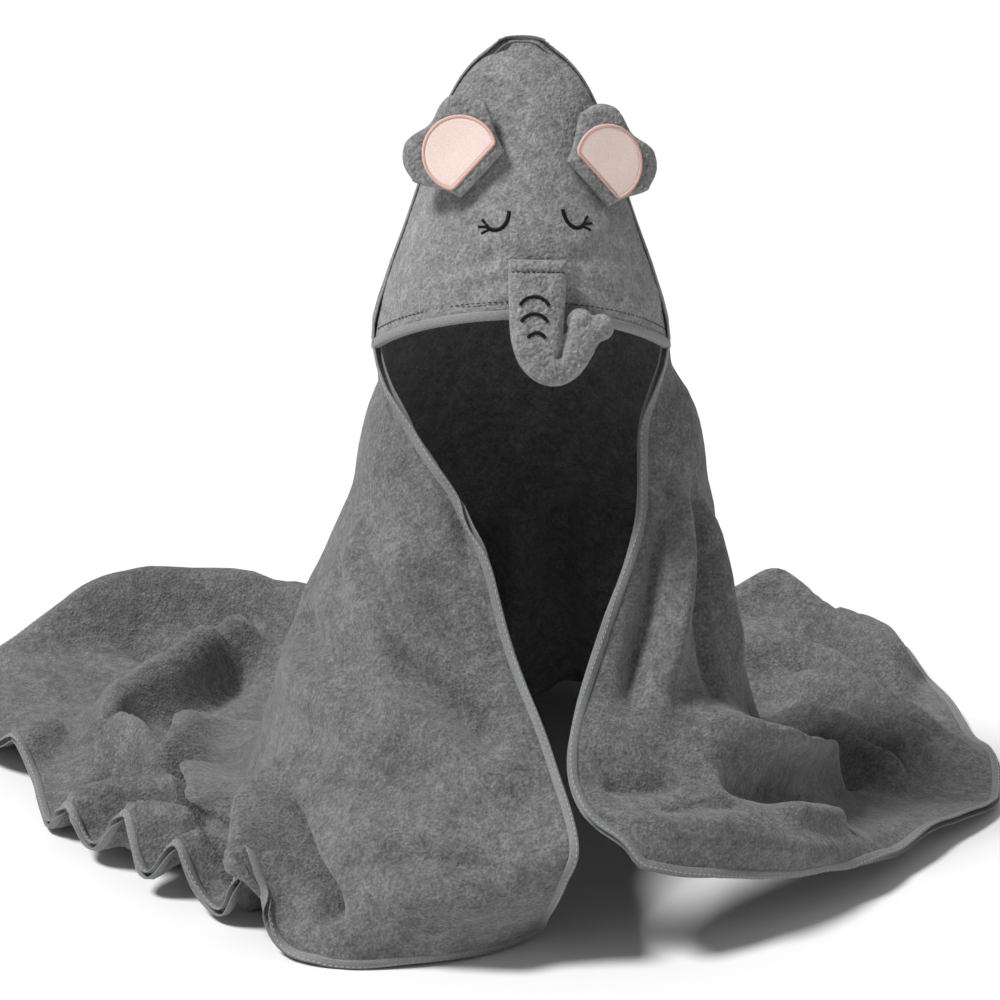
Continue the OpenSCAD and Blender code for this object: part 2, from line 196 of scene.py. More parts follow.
plush = plushMaterial("coral fleece plush, grey", "#4d4d4e", "#6b6b6c", "#8a8a8b")
# A lighter copy of the same grey fleece with light painted into its colour: the hood panel, the ears'
# fronts and the trunk's front wear it, so they look lit against the plain copy on the sheet and the backs
plushPaintedLit = plushMaterial("coral fleece plush, painted light", "#6a6a6a", "#8c8c8c", "#adadad")
tape = tapeMaterial("woven binding tape, grey", "#8b8c8d", "#717273")
brimTape = tapeMaterial("woven binding tape, brim", "#969797", "#808181")
pinkCotton = tapeMaterial("pale pink brushed cotton", "#fdeae3", "#f6dbd1")
blackThread = threadMaterial("black embroidery thread", "#1d1d1d", "#0b0b0b")
greyThread = threadMaterial("grey sewing thread", "#b9bbbc", "#8d8f90")
darkThread = threadMaterial("dark grey sewing thread", "#4a4a4a", "#2f2f2f")
pinkThread = threadMaterial("pink satin-stitch thread", "#f3d0c6", "#e6b9ad")


def newPiece(name, points, faces, material, body, slot, *nodes):
    mesh = bpy.data.meshes.new(name)
    mesh.from_pydata([tuple(p) for p in points], [], faces)
    mesh.validate()
    mesh.update()
    mesh.shade_smooth()
    piece = bpy.data.objects.new(name, mesh)
    scene.collection.objects.link(piece)
    mesh.materials.append(material)
    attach(piece, body)
    if nodes:
        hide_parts(*nodes)
    return piece


def unit(v):
    return v / np.maximum(np.linalg.norm(v, axis=-1, keepdims=True), 1e-12)


def curve(a, b, c, d, t):
    return 0.5 * (2 * b + (c - a) * t + (2 * a - 5 * b + 4 * c - d) * t * t
                  + (3 * b - a - 3 * c + d) * t * t * t)


def throughPoints(points, count):
    line = np.array(points, float)
    where = np.linspace(0, len(line) - 1, count)
    i = np.minimum(where.astype(int), len(line) - 2)
    pick = [line[np.clip(i + k, 0, len(line) - 1)] for k in (-1, 0, 1, 2)]
    return curve(*pick, (where - i)[:, None])


def refine(grid, times):
    for axis in (0, 1):
        g = np.moveaxis(grid, axis, 0)
        n = len(g)
        where = np.linspace(0, n - 1, (n - 1) * times + 1)
        i = np.minimum(where.astype(int), n - 2)
        t = (where - i)[:, None, None]
        pick = [g[np.clip(i + k, 0, n - 1)] for k in (-1, 0, 1, 2)]
        grid = np.moveaxis(curve(*pick, t), 0, axis)
    return grid


def gridNormals(grid):
    across = np.gradient(grid, axis=1)
    down = np.gradient(grid, axis=0)
    return unit(np.cross(down, across))


def gridFaces(rows, columns, first=0, flip=False):
    j, i = np.meshgrid(np.arange(rows - 1), np.arange(columns - 1), indexing="ij")
    a = (first + j * columns + i).ravel()
    quads = np.stack([a, a + 1, a + columns + 1, a + columns], 1)
    return (quads[:, ::-1] if flip else quads).tolist()


def shellFaces(rows, columns):
    total = rows * columns
    rim = list(range(columns)) + [j * columns + columns - 1 for j in range(1, rows)]
    rim += [(rows - 1) * columns + i for i in range(columns - 2, -1, -1)]
    rim += [j * columns for j in range(rows - 2, 0, -1)]
    faces = gridFaces(rows, columns, 0, True) + gridFaces(rows, columns, total, False)
    for k, a in enumerate(rim):
        b = rim[(k + 1) % len(rim)]
        faces.append([a, b, total + b, total + a])
    return faces


def nap(points, size, height, seed):
    out = np.empty(len(points))
    for k, p in enumerate(points):
        q = Vector((p[0] / size + seed, p[1] / size, p[2] / size))
        out[k] = noise.noise(q) + 0.5 * noise.noise(q * 2.1)
    return out * height


def sweep(points, inward, normals, section, loop):
    rings = [points + s[0] * inward + s[1] * normals for s in section]
    verts = np.stack(rings, 1).reshape(-1, 3)
    count, sides = len(points), len(section)
    faces = []
    for i in range(count if loop else count - 1):
        for s in range(sides):
            a, b = i * sides + s, i * sides + (s + 1) % sides
            c, d = (i + 1) % count * sides + (s + 1) % sides, (i + 1) % count * sides + s
            faces.append([a, d, c, b])
    if not loop:
        faces.append(list(range(sides)))
        faces.append([(count - 1) * sides + s for s in range(sides - 1, -1, -1)])
    return verts, faces


hoodTables = {  # height: half width, depth to the front, depth to the back, in mm
    342: (93, 86, 84), 383: (83, 78, 78), 418: (70, 66, 68), 453: (58, 51, 54),
    480: (49, 39, 42), 503: (38, 25, 27), 517: (27, 13, 14), 528: (13, 4, 4),
}
hoodHeights = [528, 517, 503, 480, 453, 418, 383, 342]
seamAngles = ((342, 101), (418, 95), (528, 90))


def tableAt(z, column):
    xs = np.array(sorted(hoodTables), float)
    ys = np.array([hoodTables[int(x)][column] for x in xs], float)
    slopes = np.gradient(ys, xs)
    z = np.asarray(z, float)
    i = np.clip(np.searchsorted(xs, z) - 1, 0, len(xs) - 2)
    h = xs[i + 1] - xs[i]
    t = (z - xs[i]) / h
    smooth = ((2 * t**3 - 3 * t**2 + 1) * ys[i] + (t**3 - 2 * t**2 + t) * h * slopes[i]
              + (3 * t**2 - 2 * t**3) * ys[i + 1] + (t**3 - t**2) * h * slopes[i + 1])
    return smooth


def seamAngle(z):
    return np.interp(z, [a[0] for a in seamAngles], [a[1] for a in seamAngles])


def hoodAt(angle, z):
    angle, z = np.broadcast_arrays(np.radians(np.asarray(angle, float)), np.asarray(z, float))
    depth = np.where(np.cos(angle) >= 0, tableAt(z, 2), tableAt(z, 1))
    return wearer + mm * np.stack([tableAt(z, 0) * np.sin(angle), depth * np.cos(angle), z], -1)


def hoodNormal(angle, z):
    across = hoodAt(np.asarray(angle) + 1.0, z) - hoodAt(np.asarray(angle) - 1.0, z)
    down = hoodAt(angle, np.asarray(z) - 2.0) - hoodAt(angle, np.asarray(z) + 2.0)
    return unit(np.cross(across, down))


sheet = {
    "flat": 0.8,          # side of the square cut
    "pile": 3.0 * mm,
    "columns": 430,
    "rows": 114,
    # share of the columns and rows used up to each place: the folded parts get the most
    "columnSpread": [(0, 0), (0.08, 1.1), (0.42, 3.4), (0.52, 4.55), (0.82, 6.6), (1, 8)],
    "rowSpread": [(0, 0), (0.24, 8), (0.46, 11.3), (1, 15)],
    "clothFrames": 22,
    "clothShare": 0.4,    # how much of the settled shape is kept
    "shrink": -0.02,      # a little more cloth than the smooth shape, so that it wrinkles
}
# Rows from the neck to the hem, each with nine places from the left front edge round the back to
# the right front edge: angle from the back, radius in mm, height in mm
bodyRows = [
    [(-122, 86, 296), (-110, 92, 298), (-90, 94, 298), (-48, 95, 300), (0, 93, 300),
     (48, 98, 300), (88, 108, 298), (104, 102, 296), (116, 88, 294)],
    [(-160, 88, 234), (-128, 103, 232), (-95, 110, 234), (-50, 112, 235), (0, 112, 236),
     (50, 115, 236), (88, 121, 236), (110, 116, 236), (130, 99, 236)],
    [(-175, 110, 170), (-136, 130, 168), (-96, 138, 166), (-50, 136, 166), (0, 130, 168),
     (50, 132, 168), (88, 134, 168), (119, 130, 170), (153, 114, 174)],
    [(-186, 166, 112), (-145, 164, 112), (-100, 158, 106), (-50, 157, 100), (0, 150, 100),
     (50, 150, 100), (90, 148, 102), (130, 160, 112), (168, 158, 124)],
    [(-188, 210, 78), (-150, 208, 66), (-104, 178, 48), (-54, 190, 36), (0, 180, 34),
     (50, 185, 38), (92, 174, 48), (138, 200, 80), (168, 188, 95)],
    [(-186, 208, 50), (-152, 224, 30), (-108, 202, 14), (-58, 270, 1.5), (0, 235, 1.5),
     (46, 268, 1.5), (90, 214, 16), (136, 216, 62), (166, 197, 84)],
    [(-184, 188, 26), (-153, 230, 13), (-111, 232, 3), (-60, 375, 1.5), (0, 290, 1.5),
     (44, 345, 1.5), (87, 264, 1.5), (128, 224, 42), (163, 206, 76)],
    [(-183, 166, 10), (-153, 232, 6), (-113, 258, 4), (-61, 475, 4), (0, 345, 4),
     (41, 428, 4), (84, 318, 4), (120, 228, 26), (160, 214, 68)],
]
# Folds as (half width, height, path), in mm, with the path as (place across, row). A negative height
# is a valley.
folds = [
    # left front: the crease that runs down from the shoulder to the knee, between two soft rolls
    (7, -5, [(1.7, 9.3), (1.5, 9.6), (1.22, 9.8), (0.95, 10.05)]),
    (8, -16, [(0.95, 10.05), (0.62, 10.3), (0.43, 10.6), (0.28, 10.85)]),
    (12, 8, [(1.7, 9.05), (1.3, 9.5), (0.95, 9.8), (0.6, 10.05), (0.3, 10.45)]),
    (13, 9, [(1.0, 10.35), (0.7, 10.6), (0.45, 10.95), (0.2, 11.2)]),
    (7, -6, [(0.03, 8.7), (0.14, 8.95), (0.2, 9.2)]),
    (9, -14, [(2.1, 10.1), (1.7, 10.25), (1.45, 10.3)]),
    (12, 8, [(2.0, 10.5), (1.6, 10.6), (1.3, 10.65), (1.0, 10.95), (0.75, 11.05)]),
    (12, -7, [(1.2, 11.15), (0.85, 11.1), (0.55, 10.95)]),
    (14, 5, [(0.9, 9.0), (0.75, 9.5), (0.6, 9.9)]),
    (16, -6, [(0.9, 12.0), (0.6, 12.1), (0.35, 12.5)]),
    (16, 5, [(0.9, 12.6), (0.6, 12.7), (0.35, 13.1)]),
    # the tube that falls from the knee to the hem, with a deep crease on each side
    (17, 22, [(1.75, 11.4), (1.5, 11.8), (1.4, 12.3), (1.4, 13), (1.45, 13.8), (1.5, 15)]),
    (8, -20, [(1.6, 11.4), (1.33, 11.95), (1.2, 12.4), (1.1, 12.9), (1.08, 13.6)]),
    (9, -16, [(1.75, 12.2), (1.66, 12.8), (1.66, 13.5), (1.7, 14.2)]),
    # left wing: folds that fan out from the hip
    (22, 26, [(3.75, 12.6), (3.6, 13.2), (3.55, 14.2), (3.35, 14.8), (3.1, 14.8)]),
    (10, -8, [(3.55, 13.9), (3.5, 14.5)]),
    (12, 18, [(3.55, 14.0), (3.45, 14.6), (3.38, 14.6), (3.2, 14.7)]),
    (9, -12, [(3.5, 13.9), (3.42, 14.3), (3.35, 14.0), (3.28, 14.2), (3.27, 14.45)]),
    (14, 24, [(3.47, 14.2), (3.38, 14.0), (3.16, 13.6), (2.79, 13.65), (2.72, 14.1)]),
    (9, -18, [(3.4, 14.0), (3.31, 13.55), (3.0, 13.05), (2.8, 13.0), (2.5, 13.05)]),
    (14, 26, [(3.2, 12.6), (2.95, 12.8), (2.74, 12.85), (2.57, 12.85), (2.45, 13.05), (2.47, 13.3),
              (2.59, 13.65), (2.63, 13.9), (2.66, 14.1)]),
    (9, -16, [(2.5, 14.2), (2.47, 13.95), (2.37, 13.45), (2.4, 13.05)]),
    (13, 24, [(2.27, 15), (2.29, 13.95), (2.25, 13.15), (2.16, 12.85)]),
    (8, -14, [(2.12, 14.6), (2.13, 13.8), (2.08, 13.0)]),
    (13, 26, [(2.1, 15), (2.02, 14), (1.86, 12.7), (1.97, 12.3), (2.22, 12.45), (2.6, 12.65)]),
    (8, -14, [(1.97, 13.3), (1.88, 12.95), (1.83, 12.4)]),
    (12, 18, [(1.9, 15), (1.86, 14.2), (1.8, 13.4), (1.76, 12.6)]),
    (16, 14, [(2.8, 14.0), (2.68, 14.5), (2.6, 15)]),
    # back
    (18, 14, [(3.75, 9.5), (3.72, 11), (3.7, 12.5), (3.6, 13.6)]),
    (16, 12, [(4.25, 9.2), (4.2, 10.6), (4.22, 12.2), (4.15, 13.6)]),
    (14, -9, [(4.0, 9.4), (3.98, 11), (3.95, 12.6)]),
    (16, 12, [(3.3, 9.4), (3.3, 10.8), (3.35, 12.0)]),
    (16, 12, [(4.7, 9.4), (4.7, 10.8), (4.65, 12.0)]),
    (16, 16, [(4.0, 12.8), (4.0, 13.8), (4.05, 15)]),
    (15, 14, [(3.8, 13.8), (3.82, 14.4), (3.85, 15)]),
    (15, 14, [(4.3, 13.6), (4.28, 14.3), (4.25, 15)]),
    # right wing
    (16, 22, [(4.45, 14.6), (4.66, 14.9), (4.78, 14.6), (4.93, 14.4), (5.12, 14.4), (5.3, 14.6)]),
    (12, 18, [(4.8, 14.85), (4.98, 14.6), (5.2, 14.7)]),
    (12, 22, [(4.55, 13.6), (4.72, 13.7), (4.9, 13.75), (5.13, 13.75), (5.38, 13.95), (5.56, 14.35),
              (5.8, 14.85)]),
    (8, -12, [(4.75, 14.2), (5.0, 14.1), (5.25, 14.15), (5.45, 14.5)]),
    (10, 18, [(4.7, 13.3), (4.96, 13.35), (5.2, 13.5), (5.42, 13.75), (5.62, 14.1), (5.8, 14.5)]),
    (7, -13, [(5.0, 13.1), (5.25, 13.3), (5.45, 13.6), (5.62, 13.95)]),
    (9, 17, [(4.95, 12.7), (5.22, 12.95), (5.4, 13.3), (5.58, 13.68), (5.74, 14.05)]),
    (6, -12, [(5.25, 12.8), (5.44, 13.15), (5.6, 13.5), (5.72, 13.8)]),
    (9, 16, [(5.3, 12.5), (5.48, 12.85), (5.62, 13.2), (5.75, 13.55), (5.85, 13.9)]),
    (7, -14, [(5.45, 12.4), (5.66, 12.8), (5.8, 13.2)]),
    (13, 20, [(7.3, 10.95), (7.03, 11.0), (6.7, 11.3), (6.4, 11.65), (6.1, 12.0), (5.88, 12.5),
              (5.9, 13.1)]),
    (11, -26, [(6.5, 11.0), (6.2, 11.45), (5.9, 11.9), (5.7, 12.2)]),
    # right lap and front
    (12, -7, [(7.1, 11.55), (6.8, 11.8), (6.5, 12.2), (6.3, 12.7)]),
    (8, -4, [(7.8, 11.5), (7.55, 11.5), (7.3, 11.45)]),
    (9, -4, [(7.5, 12.0), (7.2, 11.95), (6.95, 12.1)]),
    (10, 7, [(6.75, 12.4), (6.6, 13.0), (6.5, 13.6)]),
    (9, 8, [(7.3, 8.6), (7.3, 9.6), (7.42, 10.6)]),
    (11, -8, [(7.55, 8.9), (7.55, 9.8), (7.62, 10.7)]),
    (11, -7, [(7.02, 8.8), (6.98, 9.8), (6.95, 10.7)]),
    (10, 6, [(6.7, 8.9), (6.6, 9.8), (6.5, 10.6)]),
]
# How far the hem draws back, in rows, and how high it lifts off the floor, in mm, at places across
hemPull = [(0, 0), (1.27, 0), (1.37, 0.25), (1.44, 0.6), (1.5, 0.7), (1.6, 0.45), (1.7, 0.4), (1.8, 0.4),
           (1.92, 0.3), (2.0, 0.05), (2.12, 0.15), (2.25, 0), (2.4, 0.45), (2.55, 0.75), (2.7, 0.5),
           (3.0, 0), (4.9, 0), (5.1, 0.2), (5.3, 0.35), (5.5, 0.3), (5.8, 0), (6.0, 0.1), (6.2, 0.6),
           (6.5, 0.8), (6.8, 0.7), (7.1, 0.35), (7.5, 0.1), (7.75, 0), (8, 0)]
hemLift = [(0, 0), (1.3, 0), (1.42, 16), (1.5, 26), (1.58, 8), (1.66, 0), (1.9, 16), (2.0, 0), (2.12, 13),
           (2.25, 0), (2.35, 0), (2.5, 14), (2.65, 14), (2.8, 2), (3.0, 10), (3.3, 20), (3.6, 26),
           (3.8, 16), (4.05, 8), (4.3, 14), (4.5, 26), (4.7, 22), (4.9, 6), (5.05, 12), (5.2, 0),
           (5.35, 8), (5.5, 0), (5.7, 8), (5.9, 1), (6.1, 8), (6.3, 12), (6.5, 4), (6.8, 0), (8, 0)]
# Factors on the folds' widths and heights, the steps along each, the share of a fold that fades at an
# end, and the wings' general lift and unevenness in mm
wing = {"narrow": 0.85, "tall": 1.65, "steps": 90, "fade": 0.22, "hemRow": 14.95, "lift": 6.0,
        "noiseSize": 55.0, "noiseHeight": 5.0, "rampBlur": 0.06}


def rowPlaces(j, u):
    if j < len(hoodHeights):
        z = hoodHeights[j]
        edge = seamAngle(z)
        return hoodAt(-edge + 2 * edge * u / 8, z)
    polar = np.array(bodyRows[j - len(hoodHeights)], float)
    turn = np.radians(polar[:, 0])
    plain = np.stack([polar[:, 1] * np.sin(turn), polar[:, 1] * np.cos(turn), polar[:, 2]], -1)
    i = np.minimum(u.astype(int), 7)
    t = (u - i)[:, None]
    angle, radius, z = curve(*[polar[np.clip(i + k, 0, 8)] for k in (-1, 0, 1, 2)], t).T
    angle = np.radians(angle)
    bent = np.stack([radius * np.sin(angle), radius * np.cos(angle), z], -1)
    chord = curve(*[plain[np.clip(i + k, 0, 8)] for k in (-1, 0, 1, 2)], t)
    straight = ((i == 2) | (i == 5))[:, None] & (j > 12)      # the two straight sides of the cut
    return wearer + mm * np.where(straight, chord, bent)


def ramp(table, x):
    places, values = zip(*table)
    blur = wing["rampBlur"]
    return np.mean([np.interp(x + d, places, values) for d in np.linspace(-blur, blur, 9)], 0)


def sheetAt(u, v):
    cage = np.stack([rowPlaces(j, u) for j in range(16)])
    pull = ramp(hemPull, u)[None, :] * np.clip((v[:, None] - 11) / 4, 0, 1) ** 2
    where = v[:, None] - pull
    j = np.clip(where.astype(int), 0, 14)
    t = (where - j)[..., None]
    across = np.arange(len(u))[None, :]
    pick = [cage[np.clip(j + k, 0, 15), across] for k in (-1, 0, 1, 2)]
    return curve(*pick, t)


def gridSample(grid, u, v, places):
    x = np.interp([q[0] for q in places], u, np.arange(len(u)))
    y = np.interp([q[1] for q in places], v, np.arange(len(v)))
    i = np.minimum(x.astype(int), len(u) - 2)
    j = np.minimum(y.astype(int), len(v) - 2)
    s, t = (x - i)[:, None], (y - j)[:, None]
    top = grid[j, i] * (1 - s) + grid[j, i + 1] * s
    low = grid[j + 1, i] * (1 - s) + grid[j + 1, i + 1] * s
    return top * (1 - t) + low * t


def smoothStep(x):
    x = np.clip(x, 0, 1)
    return x * x * (3 - 2 * x)


def outward(grid, row, side):
    normals = gridNormals(grid)
    return -normals if normals[row, normals.shape[1] // 2, 1] * side < 0 else normals


def relax(grid, share, times):
    for _ in range(times):
        padded = np.pad(grid, ((1, 1), (1, 1), (0, 0)), "edge")
        inner = (padded[:-2, 1:-1] + padded[2:, 1:-1] + padded[1:-1, :-2] + padded[1:-1, 2:]) / 4
        inner[[0, -1]] = (padded[[1, -2], :-2] + padded[[1, -2], 2:]) / 2
        inner[:, [0, -1]] = ((padded[:-2] + padded[2:]) / 2)[:, [1, -2]]
        grid = grid + share * (inner - grid)
    return grid


def addFolds(u, v, grid):
    normals = unit(relax(outward(grid, 8, 1), 1.0, 8))
    flat = grid.reshape(-1, 3)
    ridge = np.zeros(len(flat))
    valley = np.zeros(len(flat))
    for half, tall, path in folds:
        places = gridSample(grid, u, v, throughPoints(path, wing["steps"]))
        reach = 3 * half * mm
        near = np.where(((flat >= places.min(0) - reach) & (flat <= places.max(0) + reach)).all(1))[0]
        away = np.linalg.norm(flat[near, None, :] - places[None], axis=-1)
        nearest = away.argmin(1) / (wing["steps"] - 1)
        # A fold fades at its ends, unless it runs out over the hem
        ease = 1.0
        if path[0][1] < wing["hemRow"]:
            ease = smoothStep(nearest / wing["fade"])
        if path[-1][1] < wing["hemRow"]:
            ease = ease * smoothStep((1 - nearest) / wing["fade"])
        bump = tall * ease * np.exp(-(away.min(1) / (wing["narrow"] * half * mm)) ** 2)
        ridge[near] = np.maximum(ridge[near], bump)
        valley[near] = np.minimum(valley[near], bump)
    height = mm * wing["tall"] * (ridge + valley).reshape(grid.shape[:2])
    vv = v[:, None]
    lift = ramp(hemLift, u)[None, :] * smoothStep((vv - 12.3) / 2.7)
    resting = smoothStep((vv - 11.5) / 1.0) * smoothStep((15 - vv) / 0.8)
    grid = grid + height[..., None] * normals
    grid[..., 2] += mm * (lift + wing["lift"] * resting)
    rough = np.array([noise.noise(Vector(p) / (wing["noiseSize"] * mm)) for p in flat])
    rough = rough.reshape(grid.shape[:2]) * wing["noiseHeight"] * mm * smoothStep((vv - 8) / 1.5)
    return grid + rough[..., None] * normals


def pinWeights(u, v):
    uu, vv = np.meshgrid(u, v)
    weight = np.interp(vv, [0, 7.8, 8.6, 11, 12.5, 15], [1, 1, 0.6, 0.4, 0.25, 0.2])
    edge = np.minimum(uu, 8 - uu)
    return np.maximum(weight, np.interp(edge, [0, 0.6], [0.95, 0]) * (vv > 7))


def settleCloth(grid, weights):
    rows, columns = grid.shape[:2]
    mesh = bpy.data.meshes.new("clothDraft")
    mesh.from_pydata(grid.reshape(-1, 3).tolist(), [], gridFaces(rows, columns))
    draft = bpy.data.objects.new("clothDraft", mesh)
    scene.collection.objects.link(draft)
    pins = draft.vertex_groups.new(name="pins")
    for k, w in enumerate(weights.ravel()):
        pins.add([k], float(w), "REPLACE")
    bpy.ops.mesh.primitive_plane_add(size=3, location=(0, 0, 0))
    ground = bpy.context.object
    ground.modifiers.new("collision", "COLLISION")
    ground.collision.thickness_outer = 0.002
    ground.collision.cloth_friction = 20
    cloth = draft.modifiers.new("cloth", "CLOTH")
    settings = cloth.settings
    settings.quality = 6
    settings.mass = 0.004
    settings.tension_stiffness = 25
    settings.compression_stiffness = 12
    settings.shear_stiffness = 8
    settings.bending_stiffness = 0.3
    settings.tension_damping = 8
    settings.compression_damping = 8
    settings.shear_damping = 8
    settings.bending_damping = 1.0
    settings.air_damping = 2.0
    settings.vertex_group_mass = "pins"
    settings.pin_stiffness = 1.2
    settings.shrink_min = sheet["shrink"]
    settings.shrink_max = sheet["shrink"]
    cloth.collision_settings.distance_min = 0.002
    cloth.collision_settings.use_self_collision = False
    for number in range(1, sheet["clothFrames"] + 1):
        scene.frame_set(number)
    shaped = draft.evaluated_get(bpy.context.evaluated_depsgraph_get())
    flat = np.empty(rows * columns * 3)
    shaped.data.vertices.foreach_get("co", flat)
    scene.frame_set(1)
    for extra in (draft, ground):
        bpy.data.objects.remove(extra, do_unlink=True)
    return flat.reshape(rows, columns, 3)


def makeSheet():
    u = np.interp(np.linspace(0, 1, sheet["columns"] + 1), *zip(*sheet["columnSpread"]))
    v = np.interp(np.linspace(0, 1, sheet["rows"] + 1), *zip(*sheet["rowSpread"]))
    grid = sheetAt(u, v)
    coarse = grid[::2, ::2].copy()
    coarse[..., 2] = np.maximum(coarse[..., 2], 1.6 * mm)
    settled = settleCloth(coarse, pinWeights(u[::2], v[::2]))
    grid = grid + sheet["clothShare"] * refine(settled - coarse, 2)
    print("cloth settled")
    grid = addFolds(u, v, grid)
    grid = relax(grid, 0.5 * smoothStep((v - 8) / 1.5)[:, None, None], 3)
    floorGap = np.full(grid.shape[:2], 1.6 * mm)
    floorGap[-2:, :] = 3.6 * mm
    grid[..., 2] = np.maximum(grid[..., 2], floorGap)
    normals = outward(grid, 8, 1)
    half = sheet["pile"] / 2
    outer = (grid + half * normals).reshape(-1, 3)
    inner = (grid - half * normals).reshape(-1, 3)
    piece = newPiece("towelSheet", np.concatenate([outer, inner]), shellFaces(*grid.shape[:2]),
                     plush, "towel", "plush", "towel_sheet")
    return grid, normals


binding = {"width": 5 * mm, "thick": 0.9 * mm, "stitch": 2.6 * mm, "gap": 1.0 * mm, "thread": 0.35 * mm}


def tapeSection(half):
    w, t = binding["width"], binding["thick"]
    a, b = half + 0.15 * mm, half + 0.15 * mm + t
    r = 0.7 * mm
    return [(w, b - 0.3 * mm), (w - r, b), (0, b), (-t, 0.6 * b), (-t - 0.2 * mm, 0), (-t, -0.6 * b),
            (0, -b), (w - r, -b), (w, -b + 0.3 * mm), (w, -a), (-0.15 * mm, -a), (-0.15 * mm, a), (w, a)]


def inwardOf(points, normals, loop):
    if loop:
        along = np.roll(points, -1, 0) - np.roll(points, 1, 0)
    else:
        along = np.gradient(points, axis=0)
    return unit(np.cross(normals, along)), unit(along)


def resample(points, others, step, loop):
    if loop:
        points = np.concatenate([points, points[:1]])
        others = [np.concatenate([o, o[:1]]) for o in others]
    run = np.concatenate([[0], np.cumsum(np.linalg.norm(np.diff(points, axis=0), axis=1))])
    count = max(2, int(round(run[-1] / step)))
    where = np.linspace(0, run[-1], count + 1)
    if loop:
        where = where[:-1]
    out = [np.stack([np.interp(where, run, a[:, k]) for k in range(3)], 1) for a in [points] + others]
    return out[0], [unit(o) for o in out[1:]]


def stitchRow(name, points, inward, normals, along, offset, lift, material, body, slot, node):
    step = binding["stitch"] + binding["gap"]
    line = points + offset * inward + lift * normals
    line, (inw, nor, alo) = resample(line, [inward, normals, along], step, False)
    r = binding["thread"]
    verts, faces = [], []
    shape = [(-0.5, 0.35), (-0.3, 1.0), (0.3, 1.0), (0.5, 0.35)]
    for p, t, n, a in zip(line, inw, nor, alo):
        first = len(verts)
        for s, fat in shape:
            centre = p + a * s * binding["stitch"] + n * r * (fat - 1.0)
            for k in range(6):
                turn = k * math.pi / 3
                verts.append(centre + fat * r * (math.cos(turn) * t + math.sin(turn) * n))
        for ring in range(len(shape) - 1):
            for k in range(6):
                q = first + ring * 6
                faces.append([q + k, q + (k + 1) % 6, q + 6 + (k + 1) % 6, q + 6 + k])
        faces.append([first + k for k in range(5, -1, -1)])
        faces.append([first + 18 + k for k in range(6)])
    return newPiece(name, verts, faces, material, body, slot, node)


def makeEdgeBinding(grid, normals):
    top = grid.shape[1]
    cells = [(j, 0) for j in range(grid.shape[0])]
    cells += [(grid.shape[0] - 1, i) for i in range(1, top)]
    cells += [(j, top - 1) for j in range(grid.shape[0] - 2, -1, -1)]
    cells += [(0, i) for i in range(top - 12, 8, -12)]
    points = np.array([grid[c] for c in cells])
    nors = np.array([normals[c] for c in cells])
    points, (nors,) = resample(points, [nors], 4 * mm, True)
    for _ in range(2):
        nors = unit(nors + np.roll(nors, 1, 0) + np.roll(nors, -1, 0))
    inward, along = inwardOf(points, nors, True)
    half = sheet["pile"] / 2
    verts, faces = sweep(points, inward, nors, tapeSection(half), True)
    verts[:, 2] = np.maximum(verts[:, 2], 0.4 * mm)
    newPiece("edgeBinding", verts, faces, tape, "towel", "tape", "edge_binding")
    lift = half + 0.15 * mm + binding["thick"]
    stitchRow("edgeStitching", points, inward, nors, along, binding["width"] - 1.4 * mm, lift,
              greyThread, "towel", "thread_grey", "edge_stitching")


panel = {"columns": 180, "rows": 150, "brimEnd": 339, "brimArch": 36, "faceTurn": 8, "leanFrom": 512,
         "lean": 5.5, "leanUp": 1.5}
faceMiddle = 180 - panel["faceTurn"]
trunkTop = (faceMiddle + 1, 408)
# Soft pulls in the panel: start across and down from the trunk's top, direction, depth, half width,
# length, all in mm
pulls = [
    ((-19, 2), (-1, -0.28), -2.6, 5, 62), ((-19, -8), (-1, -0.75), -3.2, 6, 60),
    ((-20, 10), (-1, 0.1), 1.6, 6, 50), ((19, 2), (1, -0.25), -2.6, 5, 55),
    ((19, -8), (1, -0.7), -3.2, 6, 55), ((20, 12), (1, 0.1), 1.6, 6, 45),
    ((-60, -25), (-1, -0.2), 2.0, 7, 40), ((52, -30), (1, -0.3), 2.0, 7, 40),
]


def panelSurface(columns, rows):
    a = np.linspace(0, 1, columns + 1)[None, :]
    b = np.linspace(0, 1, rows + 1)[:, None] ** 0.9
    top = hoodHeights[0]
    z = top + (panel["brimEnd"] + panel["brimArch"] * np.sin(math.pi * a) - top) * b
    edge = seamAngle(z) + 1.5 * 57.3 / np.maximum(12, tableAt(z, 1))
    angle = edge + (360 - 2 * edge) * (1 - a)
    surface = hoodAt(angle, z)
    # The panel's top leans back onto the sheet, so that the peak is closed
    lean = smoothStep((z - panel["leanFrom"]) / (top - panel["leanFrom"])) * np.sin(math.pi * a) ** 0.5
    surface[..., 1] += panel["lean"] * mm * lean
    surface[..., 2] += panel["leanUp"] * mm * lean
    return surface


